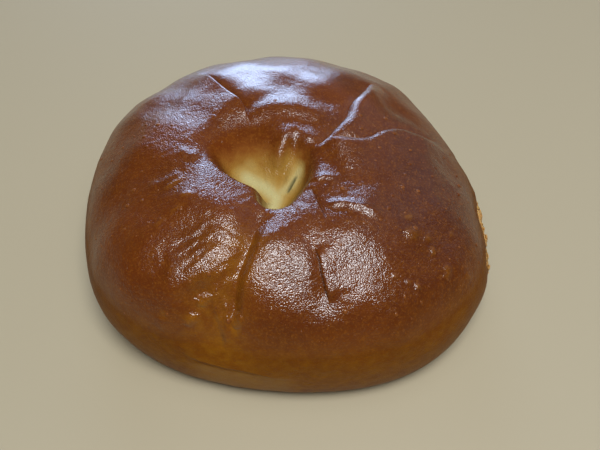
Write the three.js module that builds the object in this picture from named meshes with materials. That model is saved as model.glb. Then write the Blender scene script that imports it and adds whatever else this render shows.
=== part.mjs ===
import * as THREE from "three";

// A custard cream bun, baked in one piece. Millimetres, +Z up, resting on its flat
// tray-baked base at z = 0.

// Plain dough, before the pinch and the folds
const WIDTH = 109.65;
const DEPTH = 104.5;
const DOME = 45;
const WIDEST_HEIGHT = 0.34 * DOME;
const FOOT_SHARE = 0.88;
const CROWN_POWER = 2.2;
const UNDER_POWER = 2.2;

// The outline seen from above swells and draws in: [waves round, share, azimuth of a crest]
const OUTLINE_WAVES = [
  [1, 0.0177, 88.5],
  [2, 0.0313, -38.8],
  [3, 0.0313, -33],
  [4, 0.0212, -38.6],
  [5, 0.0059, -8],
  [6, 0.0017, -15.7],
  [7, 0.004, 2.3],
];

// The pinch, where the dough was gathered and sank. Its wall: [azimuth, reach at half depth,
// half width of the slope]. A short stem runs to the front, a long hollow to the left and a pit
// to the back right, with a narrow ridge between the two.
const PINCH = [-2.3, -7.5];
const PINCH_DEPTH = 9.5;
const PINCH_WALL = [
  [-168, 4.2, 1.5], [-155, 3.4, 1.5], [-140, 3.8, 1.7], [-125, 5, 1.5], [-110, 6.4, 1.3],
  [-95, 7, 1.3], [-72, 6.8, 1.4], [-35, 5.9, 1.6], [-4, 7, 1.8], [20, 9.2, 2.2], [37, 11, 2.6],
  [50, 12.8, 3.2], [62, 14, 3.6], [72, 13.8, 3.8], [79, 12, 4.4], [86, 11.4, 5.2], [95, 12.6, 6.2],
  [108, 14.6, 6.8], [122, 15.2, 6.4], [135, 16.2, 5.4], [145, 17, 4.4], [153, 15.5, 3.2],
  [161, 13, 2.2], [170, 10.4, 1.6], [181, 6.6, 1.4],
];
// Share of the depth that is gone at the far end of the hollows, and the reach of that end
const PINCH_RISE = [0.3, 20];

// The wide dish round the pinch reaches further to the back
const DISH_DEPTH = 3;
const DISH_REACH = 14;
const DISH_POWER = 3;
const DISH_BACK = 0.45;
const DISH_FADES = [24, 48];

// Creases from the pinch outwards, in order of azimuth. side: which side stands higher,
// 1 for the greater azimuth. lip and groove: height and depth, edge: width of the step
// between them, reach: how far the raised side slopes back, hollow: width of the low side,
// fades: lengths over which it opens and closes, lean: how far the lip hangs over,
// crisp: 1 for a rounded lip over a sharp crease, 0 for a soft step.
const CREASES = [
  { // edge of the broad furrow at the front left
    path: [[-4.6, -18.5], [-6.8, -24.6], [-8.6, -29.5], [-10.3, -33.7], [-11.2, -39.5], [-11.6, -45]],
    side: 1, lip: 0.9, groove: 0.4, edge: 2.2, reach: 3, hollow: 1.8, fades: [8, 8], lean: 0, crisp: 0.2,
  },
  { // fold between the two front lobes
    path: [[7.7, -26.8], [8.9, -29.4], [9.3, -32.2], [10.1, -35.2], [11.4, -39]],
    side: 1, lip: 0.8, groove: 0.7, edge: 0.9, reach: 4, hollow: 1, fades: [3.5, 3], lean: 0.3, crisp: 1,
  },
  { // short slit beside the pinch
    path: [[7, -9], [8, -12.5], [9, -16], [10.4, -19.5]],
    side: -1, lip: 0.35, groove: 1.1, edge: 0.5, reach: 2.5, hollow: 0.5, fades: [2, 2], lean: 0.4, crisp: 1,
  },
  { // long fold to the right, where the front lobe laps over the flap
    path: [
      [9.6, 3.2], [11.6, 5.2], [14.7, 6.1], [17.9, 6.1], [21.3, 6.3],
      [24.9, 9.8], [28.1, 12], [31.2, 13.2], [36.3, 12.9], [43, 14.1],
    ],
    side: -1, lip: 1.6, groove: 1.2, edge: 3.2, reach: 8, hollow: 1.8, fades: [5, 7], lean: 0.6, crisp: 1,
  },
  { // fold to the back right, the flap standing over the back lobe
    path: [[7.6, 3.3], [9.7, 4.9], [13.7, 10.1], [17.1, 15], [17.8, 19.6], [21.3, 25.7], [25, 33]],
    side: -1, lip: 1.6, groove: 0.9, edge: 3.2, reach: 6, hollow: 2, fades: [5, 6], lean: 0.2, crisp: 1,
  },
  { // fold to the back left
    path: [[-8.4, 13.2], [-10.5, 18.2], [-15.1, 23.9], [-18.3, 28.1], [-21.6, 33.3], [-25.5, 37.5]],
    side: 1, lip: 1.3, groove: 1.8, edge: 1.1, reach: 7, hollow: 1.6, fades: [6, 9], lean: 0.9, crisp: 1,
  },
];

// Furrows pressed into the crust and, with a negative depth, wrinkles raised on it
const FURROWS = [
  {
    path: [[-3.6, -15], [-6.9, -25], [-9.8, -32], [-11.5, -39], [-12.6, -46]],
    depth: 1.7, width: 3.4, fades: [7, 8],
  },
  { path: [[-12.5, -33], [-14.5, -40], [-16.5, -48]], depth: 0.8, width: 7, fades: [8, 4] },
  { path: [[7, -22], [8.5, -29], [9.5, -36], [11, -42]], depth: 0.4, width: 2, fades: [5, 4] },
  { path: [[-5, 8], [-8, 14], [-12, 21]], depth: 0.9, width: 4, fades: [4, 4] },
  { path: [[20, 4], [28, 17], [33, 26]], depth: 0.7, width: 6, fades: [6, 6] },
  { path: [[1, -5], [2.5, -2.6], [3.9, -0.4]], depth: 0.9, width: 0.5, fades: [1.5, 1.5] },
  { // rim of the pit
    path: [[-1.6, 0.4], [-1.1, 3.8], [0.8, 7.3], [3.4, 9.1], [5.8, 7.9], [7.2, 4.4]],
    depth: -1, width: 2.6, fades: [3, 3],
  },
  {
    path: [[10.5, -15.4], [14.5, -15], [19.5, -16.3], [25, -18.5]],
    depth: -0.85, width: 1.1, fades: [3, 4],
  },
  { path: [[7, -7], [11, -6.2], [15, -7]], depth: -0.5, width: 1.1, fades: [2, 3] },
  { // rolled edge at the back of the dish
    path: [[-13, 14], [-9, 16.4], [-3, 17.8], [3, 17.6], [8, 16.4], [12, 13]],
    depth: -0.9, width: 3, fades: [5, 5],
  },
  { path: [[-34, -8], [-29, -7], [-25, -4.5]], depth: -0.45, width: 1, fades: [2, 2] },
  { path: [[-27, 3], [-23, 0.5], [-21, 2.5]], depth: -0.5, width: 1.3, fades: [2, 2] },
  {
    path: [[-14, -37], [-12.9, -40], [-12.9, -43], [-13.8, -45.5]],
    depth: -0.6, width: 0.8, fades: [3, 3],
  },
];

// Ledges of skin, raised on the left of the path
const LEDGES = [
  { // shoulder of the left lobe over the front furrow
    path: [[-32, -35], [-26.5, -36], [-20.5, -35], [-17, -33.6], [-11.5, -31.4], [-7.4, -26.5], [-5.8, -22]],
    height: 1.1, edge: 4, reach: 6, fades: [8, 12],
  },
  { // skin drawn up beside the furrow
    path: [[-13, -46.5], [-14.2, -44], [-15, -42], [-16.3, -39.2], [-16.9, -36.5], [-16.2, -33]],
    height: -0.5, edge: 1.3, reach: 4, fades: [4, 4],
  },
];

// The skin's lower edge left of the middle of the front
const SKIRT_START = -119;
const SKIRT_END = -86;
const SKIRT_HEIGHT = 19.2;
const SKIRT_FALL = 0.12;
const SKIRT_PROUD = 0.6;

// Lobes of dough: centre, half widths, turn in degrees, height
const LOBES = [
  { at: [2, 2], size: [2, 6], turn: 12, height: 0.9 },
  { at: [0.6, -26.5], size: [8.8, 8.8], turn: 0, height: 1.1 },
  { at: [-15, -16.9], size: [12, 8], turn: -25, height: 2.4 },
  { at: [-31.9, -27.9], size: [13, 10], turn: -20, height: 2.5 },
  { at: [22, -20.3], size: [11, 9], turn: 30, height: 1.5 },
  { at: [-3, 36], size: [16, 8], turn: 0, height: 1.2 },
];

// Slow unevenness of the whole crust: [height, waves per mm to the right and back, phase]
const SWELLS = [
  [0.25, 0.21, 0.13, 1],
  [0.22, -0.12, 0.25, 2.3],
  [0.12, 0.41, -0.33, 0.4],
  [0.1, 0.28, 0.52, 3.1],
];

// The seam that burst on the right: azimuths, heights, and how far the torn dough stands out
const BURST_START = [-22, -4];
const BURST_END = [2, 9];
const BURST_LOW = 6;
const BURST_HIGH = 21;
const BURST_PROUD = 1;
const BURST_LAYERS = 0.35;
const BURST_LIFT = 0.4;
const BURST_GAP = 0.7;

// Knuckles and hollows low on the side: [azimuth, half width in degrees, height, how far they stand out]
const KNUCKLES = [
  [-24, 6, 15, 0.55],
  [-16, 5, 19, -0.6],
  [-5, 8, 19, -2],
  [12, 5, 19, 0.5],
  [21, 2.6, 19, 0.7],
];

// How finely the surface is divided
const COLUMNS = 104;
const CROWN_RINGS = 38;
const SIDE_RINGS = 11;
const CROWDING = 0.8;

const rad = THREE.MathUtils.degToRad;
const deg = THREE.MathUtils.radToDeg;
const clamp = THREE.MathUtils.clamp;

function ease(x) {
  const u = clamp(x, 0, 1);
  return u * u * (3 - 2 * u);
}

// Value of a table of [position, value] rows at x, held level past its ends
function levelTable(rows, x) {
  if (x <= rows[0][0]) return rows[0][1];
  for (let i = 1; i < rows.length; i++) {
    if (x <= rows[i][0]) {
      const share = (x - rows[i - 1][0]) / (rows[i][0] - rows[i - 1][0]);
      return rows[i - 1][1] + (rows[i][1] - rows[i - 1][1]) * share;
    }
  }
  return rows[rows.length - 1][1];
}

// Value in one column of a closed table whose rows start with an azimuth, as a smooth curve
function roundTable(rows, column, azimuth) {
  const count = rows.length;
  const first = rows[0][0];
  const a = ((((azimuth - first) % 360) + 360) % 360) + first;
  let i = count - 1;
  while (i > 0 && a < rows[i][0]) i -= 1;
  const place = (k) => rows[(k + count) % count][0] + 360 * Math.floor(k / count);
  const value = (k) => rows[(k + count) % count][column];
  const slope = (k) => (value(k + 1) - value(k - 1)) / (place(k + 1) - place(k - 1));
  const run = place(i + 1) - place(i);
  const u = (a - place(i)) / run;
  const curve = value(i) * (1 + 2 * u) * (1 - u) ** 2 + value(i + 1) * (3 - 2 * u) * u * u;
  return curve + run * u * (1 - u) * (slope(i) * (1 - u) - slope(i + 1) * u);
}

// Point of the outline, seen from above, at an azimuth in radians
function outline(phi) {
  let swell = 1;
  for (const [waves, share, crest] of OUTLINE_WAVES) {
    swell += share * Math.cos(waves * (phi - rad(crest)));
  }
  return [(WIDTH / 2) * swell * Math.cos(phi), (DEPTH / 2) * swell * Math.sin(phi)];
}

// Share of the outline and height at t: 0 the middle of the crown, 1 the widest ring, 2 the foot
function profile(t) {
  if (t <= 1) {
    const a = (t * Math.PI) / 2;
    const rise = Math.pow(Math.abs(Math.cos(a)), 2 / CROWN_POWER);
    return [Math.pow(Math.sin(a), 2 / CROWN_POWER), WIDEST_HEIGHT + (DOME - WIDEST_HEIGHT) * rise];
  }
  const b = ((t - 1) * Math.PI) / 2;
  const draw = Math.pow(Math.abs(Math.cos(b)), 2 / UNDER_POWER);
  const fall = Math.pow(Math.sin(b), 2 / UNDER_POWER);
  return [FOOT_SHARE + (1 - FOOT_SHARE) * draw, WIDEST_HEIGHT * (1 - fall)];
}

// Point of the plain dough: the crown leans towards the pinch
function plainDough(phi, t) {
  const [share, z] = profile(t);
  const [x, y] = outline(phi);
  const lean = t < 1 ? 1 - share * share : 0;
  return new THREE.Vector3(x * share + PINCH[0] * lean, y * share + PINCH[1] * lean, z);
}

// Reach in mm from the pinch and azimuth in degrees of a point seen from above
function rayTo(x, y) {
  let share = 0.3;
  let phi = 0;
  let edge = 1;
  for (let i = 0; i < 60; i++) {
    const px = x - PINCH[0] * (1 - share * share);
    const py = y - PINCH[1] * (1 - share * share);
    phi = Math.atan2(py / DEPTH, px / WIDTH);
    edge = Math.hypot(...outline(phi));
    share = 0.5 * share + 0.5 * Math.min(1, Math.hypot(px, py) / edge);
  }
  return [share * edge, deg(phi)];
}

const creases = CREASES.map((crease) => {
  const rays = crease.path.map(([x, y]) => rayTo(x, y));
  return { ...crease, rays, start: rays[0][0], end: rays[rays.length - 1][0] };
});

// Azimuth of a crease at each reach, rounding off the corners of its path
function creaseAzimuth(crease, reach) {
  const near = levelTable(crease.rays, reach - 1.6);
  const far = levelTable(crease.rays, reach + 1.6);
  return (near + 2 * levelTable(crease.rays, reach) + far) / 4;
}

// How many degrees past an azimuth an angle in radians lies, between -180 and 180
function degreesPast(phi, azimuth) {
  return ((((deg(phi) - azimuth + 180) % 360) + 360) % 360) - 180;
}

// Signed distance from a crease, positive on its raised side, and its strength there
function beside(crease, phi, reach) {
  const azimuth = creaseAzimuth(crease, reach);
  const turn = creaseAzimuth(crease, reach + 0.5) - creaseAzimuth(crease, reach - 0.5);
  const across = degreesPast(phi, azimuth);
  const distance = (rad(across) * reach * crease.side) / Math.hypot(1, rad(turn) * reach);
  const strength = ease((reach - crease.start) / crease.fades[0])
    * ease((crease.end - reach) / crease.fades[1])
    * ease((25 - Math.abs(distance)) / 10);
  return [distance, strength];
}

function creaseRelief(crease, phi, reach) {
  const [distance, strength] = beside(crease, phi, reach);
  if (distance <= 0) return [-strength * crease.groove * Math.exp(distance / crease.hollow), 0];
  const past = Math.max(0, distance - crease.edge);
  const u = Math.min(1, distance / crease.edge);
  const step = crease.crisp * Math.sqrt(1 - (1 - u) ** 2) + (1 - crease.crisp) * ease(u);
  const height = past > 0
    ? crease.lip * Math.exp(-past / crease.reach)
    : -crease.groove + (crease.groove + crease.lip) * step;
  const slide = -crease.side * crease.lean * step * Math.exp(-past / 2.5);
  return [strength * height, strength * slide];
}

// Distance from a path seen from above, 1 on its left or -1 on its right, how far along it the
// nearest point is, and its length
function alongPath(path, x, y) {
  let nearest = Infinity;
  let left = 0;
  let along = 0;
  let length = 0;
  for (let i = 1; i < path.length; i++) {
    const [ax, ay] = path[i - 1];
    const dx = path[i][0] - ax;
    const dy = path[i][1] - ay;
    const run = Math.hypot(dx, dy);
    const u = clamp(((x - ax) * dx + (y - ay) * dy) / (run * run), 0, 1);
    const gap = Math.hypot(x - ax - u * dx, y - ay - u * dy);
    if (gap < nearest) {
      nearest = gap;
      left = Math.sign(dx * (y - ay) - dy * (x - ax));
      along = length + u * run;
    }
    length += run;
  }
  return [nearest, left, along, length];
}

function furrowRelief(furrow, x, y) {
  const [gap, , along, length] = alongPath(furrow.path, x, y);
  const strength = ease(along / furrow.fades[0]) * ease((length - along) / furrow.fades[1]);
  return -furrow.depth * strength * Math.exp(-((gap / furrow.width) ** 2));
}

function ledgeRelief(ledge, x, y) {
  const [gap, left, along, length] = alongPath(ledge.path, x, y);
  const strength = ease(along / ledge.fades[0]) * ease((length - along) / ledge.fades[1]);
  const past = Math.max(0, gap * left - ledge.edge / 2);
  const fade = Math.exp(-((past / ledge.reach) ** 2));
  return ledge.height * strength * ease((gap * left) / ledge.edge + 0.5) * fade;
}

function lobeRelief(lobe, x, y) {
  const c = Math.cos(rad(lobe.turn));
  const s = Math.sin(rad(lobe.turn));
  const u = (c * (x - lobe.at[0]) + s * (y - lobe.at[1])) / lobe.size[0];
  const v = (-s * (x - lobe.at[0]) + c * (y - lobe.at[1])) / lobe.size[1];
  return lobe.height * Math.exp(-u * u - v * v);
}

// The skin stands out over the softer dough below its lower edge
function skirtRelief(phi, z) {
  const a = degreesPast(phi, 0);
  const edge = SKIRT_HEIGHT - SKIRT_FALL * (a - SKIRT_START) + 0.6 * Math.sin(a * 0.3);
  const strength = ease((a - SKIRT_START) / 8) * ease((SKIRT_END - a) / 8);
  const above = ease((z - edge) / 1.2) * Math.exp(-Math.max(0, z - edge) / 5);
  return SKIRT_PROUD * strength * (above - 0.3 * ease((edge - z) / 6));
}

// The burst seam: layers of torn dough standing proud below a gap and a lifted edge of crust
function burstRelief(phi, z) {
  const a = deg(phi);
  const start = ease((a - BURST_START[0]) / (BURST_START[1] - BURST_START[0]));
  const proud = start * ease((BURST_END[1] - a) / (BURST_END[1] - BURST_END[0]));
  const torn = ease((a - BURST_START[0]) / 5) * ease((BURST_END[1] - a) / 5);
  const h = z + 1.1 * Math.sin(a * 0.4) + 0.6 * Math.sin(a * 0.9 + 1);
  const band = ease((h - BURST_LOW) / 4) * ease((BURST_HIGH - h) / 2);
  const layers = BURST_LAYERS * Math.sin(h * 1.5 + 2 * Math.sin(a * 0.3));
  const gap = -BURST_GAP * Math.exp(-(((h - BURST_HIGH + 0.8) / 0.9) ** 2));
  const lifted = BURST_LIFT * Math.exp(-(((h - BURST_HIGH - 1) / 1.4) ** 2));
  return band * (BURST_PROUD * proud + layers * torn) + (gap + lifted) * torn;
}

function knuckleRelief([azimuth, width, height, proud], phi, z) {
  const around = degreesPast(phi, azimuth);
  return proud * Math.exp(-((around / width) ** 2) - ((z - height) / (1.3 * width)) ** 2);
}

// 1 at the floor of the pinch, 0 far outside it
function sunkShare(phi, reach) {
  const half = roundTable(PINCH_WALL, 1, deg(phi));
  const slope = roundTable(PINCH_WALL, 2, deg(phi));
  const share = (1 - Math.tanh((reach - half) / slope)) / (1 + Math.tanh(half / slope));
  return share * (1 - PINCH_RISE[0] * ease(reach / PINCH_RISE[1]));
}

function dishRelief(phi, reach) {
  const half = DISH_REACH * (1 + DISH_BACK * ease(Math.sin(phi)));
  const fade = ease((DISH_FADES[1] - reach) / (DISH_FADES[1] - DISH_FADES[0]));
  return (-DISH_DEPTH / (1 + (reach / half) ** DISH_POWER)) * fade;
}

// Height of the baked surface over the plain dough, and its slide round the ring
function relief(phi, t, at) {
  const reach = profile(t)[0] * Math.hypot(...outline(phi));
  let height = dishRelief(phi, reach) - PINCH_DEPTH * sunkShare(phi, reach);
  let slide = 0;
  for (const crease of creases) {
    const [up, round] = creaseRelief(crease, phi, reach);
    height += up;
    slide += round;
  }
  for (const furrow of FURROWS) height += furrowRelief(furrow, at.x, at.y);
  for (const ledge of LEDGES) height += ledgeRelief(ledge, at.x, at.y);
  for (const lobe of LOBES) height += lobeRelief(lobe, at.x, at.y);
  for (const [swell, across, back, phase] of SWELLS) {
    height += swell * Math.sin(across * at.x + back * at.y + phase) * ease((1 - t) / 0.3);
  }
  const crown = ease((1.3 - t) / 0.35);
  let low = burstRelief(phi, at.z) + skirtRelief(phi, at.z);
  for (const knuckle of KNUCKLES) low += knuckleRelief(knuckle, phi, at.z);
  return [height * crown + low, slide * crown];
}

function bakedPoint(phi, t) {
  const at = plainDough(phi, t);
  const small = 1e-4;
  const round = plainDough(phi + small, t).sub(plainDough(phi - small, t)).normalize();
  const down = plainDough(phi, Math.min(2, t + small)).sub(plainDough(phi, t - small));
  const out = new THREE.Vector3().crossVectors(down, round).normalize();
  const [height, slide] = relief(phi, t, at);
  return at.addScaledVector(out, height).addScaledVector(round, slide);
}

// Azimuths of one ring: a column runs along every crease, and the columns crowd towards it
const anchors = creases.map((crease) => rad(creaseAzimuth(crease, 30)));
const shares = anchors.map((a, i) => {
  const next = i + 1 < anchors.length ? anchors[i + 1] : anchors[0] + 2 * Math.PI;
  const even = 0.35 / anchors.length + (0.65 * (next - a)) / (2 * Math.PI);
  return 4 * Math.max(2, Math.round((COLUMNS * even) / 4));
});

function ringAzimuths(t) {
  const reach = t > 1 ? 54 : 54 * profile(t)[0];
  const lines = creases.map((crease) => rad(creaseAzimuth(crease, reach)));
  lines.push(lines[0] + 2 * Math.PI);
  const azimuths = [];
  shares.forEach((count, i) => {
    const gap = Math.max(0.02, lines[i + 1] - lines[i]);
    for (let k = 0; k < count; k++) {
      const even = k / count;
      const crowded = even - (CROWDING * Math.sin(2 * Math.PI * even)) / (2 * Math.PI);
      azimuths.push(lines[i] + gap * crowded);
    }
  });
  return azimuths;
}

const positions = [];
const faces = [];

function addPoint(p) {
  positions.push(p.x, p.y, p.z);
  return positions.length / 3 - 1;
}

// One ring of points; stride leaves columns out where they would crowd at the pinch
function addRing(t, stride) {
  return ringAzimuths(t)
    .filter((azimuth, i) => i % stride === 0)
    .map((azimuth) => addPoint(bakedPoint(azimuth, t)));
}

function addFan(centre, ring, facingDown) {
  ring.forEach((a, i) => {
    const b = ring[(i + 1) % ring.length];
    faces.push(...(facingDown ? [centre, b, a] : [centre, a, b]));
  });
}

// Joins an inner ring to an outer one with as many points, or with twice as many
function addBand(inner, outer) {
  const step = outer.length / inner.length;
  inner.forEach((a, i) => {
    const b = inner[(i + 1) % inner.length];
    const ring = [];
    for (let k = 0; k <= step; k++) ring.push(outer[(i * step + k) % outer.length]);
    if (step === 2) faces.push(a, ring[0], ring[1], a, ring[1], b, b, ring[1], ring[2]);
    else faces.push(a, ring[0], ring[1], a, ring[1], b);
  });
}

const ringPlaces = [];
for (let i = 1; i <= CROWN_RINGS; i++) ringPlaces.push(i / CROWN_RINGS);
for (let i = 1; i <= SIDE_RINGS; i++) ringPlaces.push(1 + i / SIDE_RINGS);
const strideAt = (t) => {
  if (t < 0.045) return 4;
  return t < 0.1 ? 2 : 1;
};
const rings = ringPlaces.map((t) => addRing(t, strideAt(t)));
addFan(addPoint(bakedPoint(0, 0.002)), rings[0], false);
for (let i = 1; i < rings.length; i++) addBand(rings[i - 1], rings[i]);
addFan(addPoint(new THREE.Vector3(0, 0, 0)), rings[rings.length - 1], true);

const shape = new THREE.BufferGeometry();
shape.setAttribute("position", new THREE.Float32BufferAttribute(positions, 3));
shape.setIndex(faces);
shape.computeBoundingBox();
const middle = shape.boundingBox.getCenter(new THREE.Vector3());
shape.translate(-middle.x, -middle.y, -shape.boundingBox.min.z);
shape.computeVertexNormals();

// Egg-washed crust
const crust = new THREE.MeshStandardMaterial({ color: 0x7a421c, roughness: 0.35, metalness: 0 });

const bun = new THREE.Mesh(shape, crust);
bun.name = "bun";

const group = new THREE.Group();
group.name = "custard_cream_bun";
group.add(bun);

export default group;
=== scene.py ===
"""A custard cream bun: one baked piece with an egg-washed crust, a pale sunken pinch in its crown,
folds running out from it, a torn side and a flat base baked on the tray."""

import math

import bpy
import numpy as np
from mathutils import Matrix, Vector, noise


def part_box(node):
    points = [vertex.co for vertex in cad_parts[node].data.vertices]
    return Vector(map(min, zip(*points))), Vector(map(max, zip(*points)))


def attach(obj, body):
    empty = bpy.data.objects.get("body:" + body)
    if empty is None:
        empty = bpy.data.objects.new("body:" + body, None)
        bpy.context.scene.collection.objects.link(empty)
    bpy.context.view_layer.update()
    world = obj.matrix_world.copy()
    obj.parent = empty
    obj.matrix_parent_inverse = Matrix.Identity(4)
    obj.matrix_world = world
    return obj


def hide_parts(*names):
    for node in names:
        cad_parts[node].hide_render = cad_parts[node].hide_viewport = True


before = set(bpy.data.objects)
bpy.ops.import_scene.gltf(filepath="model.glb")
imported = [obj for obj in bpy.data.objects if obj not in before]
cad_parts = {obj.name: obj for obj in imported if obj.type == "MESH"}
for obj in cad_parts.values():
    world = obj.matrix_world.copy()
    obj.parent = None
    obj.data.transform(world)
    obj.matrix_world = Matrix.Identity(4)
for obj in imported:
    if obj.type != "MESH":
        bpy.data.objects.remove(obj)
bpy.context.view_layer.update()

# Sizes are in millimetres up to MM, which turns them to the scene's metres.
MM = 0.001

# Plain dough, before the pinch and the folds
WIDTH = 109.65
DEPTH = 104.5
DOME = 45.0
WIDEST_HEIGHT = 0.34 * DOME
FOOT_SHARE = 0.88
CROWN_POWER = 2.2
UNDER_POWER = 2.2

# The outline from above swells and draws in: waves round, share, azimuth of a crest
OUTLINE_WAVES = [
    (1, 0.0177, 88.5),
    (2, 0.0313, -38.8),
    (3, 0.0313, -33.0),
    (4, 0.0212, -38.6),
    (5, 0.0059, -8.0),
    (6, 0.0017, -15.7),
    (7, 0.0040, 2.3),
]

# The pinch. Its wall: azimuth, reach at half depth, half width of the slope. A short stem runs to
# the front, a long hollow to the left and a pit to the back right, with a narrow ridge between.
PINCH = (-2.3, -7.5)
PINCH_DEPTH = 9.5
PINCH_WALL = [
    (-168, 4.2, 1.5), (-155, 3.4, 1.5), (-140, 3.8, 1.7), (-125, 5.0, 1.5), (-110, 6.4, 1.3),
    (-95, 7.0, 1.3), (-72, 6.8, 1.4), (-35, 5.9, 1.6), (-4, 7.0, 1.8), (20, 9.2, 2.2),
    (37, 11.0, 2.6), (50, 12.8, 3.2), (62, 14.0, 3.6), (72, 13.8, 3.8), (79, 12.0, 4.4),
    (86, 11.4, 5.2), (95, 12.6, 6.2), (108, 14.6, 6.8), (122, 15.2, 6.4), (135, 16.2, 5.4),
    (145, 17.0, 4.4), (153, 15.5, 3.2), (161, 13.0, 2.2), (170, 10.4, 1.6), (181, 6.6, 1.4),
]
# How much of the depth is gone at the far end of the hollows, and the reach of that end
PINCH_RISE = 0.3
PINCH_END = 20

# The wide dish round the pinch, which reaches further to the back
DISH_DEPTH = 3.0
DISH_REACH = 14
DISH_POWER = 3
DISH_BACK = 0.45
DISH_FADES = (24, 48)

# Creases from the pinch outwards, in order of azimuth. side: which side stands higher, 1 for the
# greater azimuth. lip and groove: height and depth, edge: width of the step between them, reach:
# how far the raised side slopes back, hollow: width of the low side, fades: lengths over which it
# opens and closes, lean: how far the lip hangs over, crisp: 1 for a rounded lip over a sharp
# crease, 0 for a soft step.
CREASES = [
    dict(
        name="edge of the front furrow", side=1, lip=0.9, groove=0.4, edge=2.2, reach=3,
        hollow=1.8, fades=(8, 8), lean=0, crisp=0.2,
        path=[
            (-4.6, -18.5), (-6.8, -24.6), (-8.6, -29.5),
            (-10.3, -33.7), (-11.2, -39.5), (-11.6, -45),
        ],
    ),
    dict(
        name="fold between the front lobes", side=1, lip=0.8, groove=0.7, edge=0.9, reach=4,
        hollow=1, fades=(3.5, 3), lean=0.3, crisp=1,
        path=[(7.7, -26.8), (8.9, -29.4), (9.3, -32.2), (10.1, -35.2), (11.4, -39)],
    ),
    dict(
        name="slit beside the pinch", side=-1, lip=0.35, groove=1.1, edge=0.5, reach=2.5,
        hollow=0.5, fades=(2, 2), lean=0.4, crisp=1,
        path=[(7, -9), (8, -12.5), (9, -16), (10.4, -19.5)],
    ),
    dict(
        name="long fold to the right", side=-1, lip=1.6, groove=1.2, edge=3.2, reach=8,
        hollow=1.8, fades=(5, 7), lean=0.6, crisp=1,
        path=[
            (9.6, 3.2), (11.6, 5.2), (14.7, 6.1), (17.9, 6.1), (21.3, 6.3),
            (24.9, 9.8), (28.1, 12), (31.2, 13.2), (36.3, 12.9), (43, 14.1),
        ],
    ),
    dict(
        name="fold to the back right", side=-1, lip=1.6, groove=0.9, edge=3.2, reach=6,
        hollow=2, fades=(5, 6), lean=0.2, crisp=1,
        path=[
            (7.6, 3.3), (9.7, 4.9), (13.7, 10.1), (17.1, 15),
            (17.8, 19.6), (21.3, 25.7), (25, 33),
        ],
    ),
    dict(
        name="fold to the back left", side=1, lip=1.3, groove=1.8, edge=1.1, reach=7,
        hollow=1.6, fades=(6, 9), lean=0.9, crisp=1,
        path=[
            (-8.4, 13.2), (-10.5, 18.2), (-15.1, 23.9),
            (-18.3, 28.1), (-21.6, 33.3), (-25.5, 37.5),
        ],
    ),
]
# The length along a crease over which its corners are rounded off, how far across it acts, over
# what length that fades, and the reach of the lip's lean
CREASE_ROUNDING = 1.6
CREASE_ACROSS = 25
CREASE_FADE = 10
LEAN_REACH = 2.5

# Furrows pressed into the crust and, with a negative depth, wrinkles raised on it:
# path, depth, width, lengths of its fades. The slit is in the floor of the pinch.
SLIT = ([(1, -5), (2.5, -2.6), (3.9, -0.4)], 0.9, 0.5, (1.5, 1.5))
PIT_RIM = (
    [(-1.6, 0.4), (-1.1, 3.8), (0.8, 7.3), (3.4, 9.1), (5.8, 7.9), (7.2, 4.4)],
    -1.0, 2.6, (3, 3),
)
FURROWS = [
    # the front furrow, and its broad foot
    ([(-3.6, -15), (-6.9, -25), (-9.8, -32), (-11.5, -39), (-12.6, -46)], 1.7, 3.4, (7, 8)),
    ([(-12.5, -33), (-14.5, -40), (-16.5, -48)], 0.8, 7, (8, 4)),
    # between the two front lobes
    ([(7, -22), (8.5, -29), (9.5, -36), (11, -42)], 0.4, 2, (5, 4)),
    # behind the long hollow, and across the flap on the right
    ([(-5, 8), (-8, 14), (-12, 21)], 0.9, 4, (4, 4)),
    ([(20, 4), (28, 17), (33, 26)], 0.7, 6, (6, 6)),
    SLIT,
    PIT_RIM,
    # two wrinkles right of the pinch
    ([(10.5, -15.4), (14.5, -15), (19.5, -16.3), (25, -18.5)], -0.85, 1.1, (3, 4)),
    ([(7, -7), (11, -6.2), (15, -7)], -0.5, 1.1, (2, 3)),
    # rolled edge at the back of the dish
    ([(-13, 14), (-9, 16.4), (-3, 17.8), (3, 17.6), (8, 16.4), (12, 13)], -0.9, 3, (5, 5)),
    # small wrinkles on the left, and one beside the front furrow
    ([(-34, -8), (-29, -7), (-25, -4.5)], -0.45, 1, (2, 2)),
    ([(-27, 3), (-23, 0.5), (-21, 2.5)], -0.5, 1.3, (2, 2)),
    ([(-14, -37), (-12.9, -40), (-12.9, -43), (-13.8, -45.5)], -0.6, 0.8, (3, 3)),
]

# Ledges of skin: path, height of its left side, width of the edge, reach, lengths of its fades
LEDGES = [
    # shoulder of the left lobe over the front furrow
    (
        [
            (-32, -35), (-26.5, -36), (-20.5, -35), (-17, -33.6),
            (-11.5, -31.4), (-7.4, -26.5), (-5.8, -22),
        ],
        1.1, 4, 6, (8, 12),
    ),
    # skin drawn up beside the furrow
    (
        [(-13, -46.5), (-14.2, -44), (-15, -42), (-16.3, -39.2), (-16.9, -36.5), (-16.2, -33)],
        -0.5, 1.3, 4, (4, 4),
    ),
]

# The skin's lower edge left of the middle of the front: azimuths of its ends and their fades,
# height at its start, fall in mm per degree, its wave and radians of that per degree, how far the
# skin stands out, width of the edge, reach above it, and the share and reach of the hollow below
SKIRT = (-119, -86, 8, 8)
SKIRT_HEIGHT = 19.2
SKIRT_FALL = 0.12
SKIRT_WAVE = 0.6
SKIRT_WAVE_RATE = 0.3
SKIRT_PROUD = 0.6
SKIRT_EDGE = 1.2
SKIRT_REACH = 5
SKIRT_HOLLOW = 0.3
SKIRT_HOLLOW_REACH = 6

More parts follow.
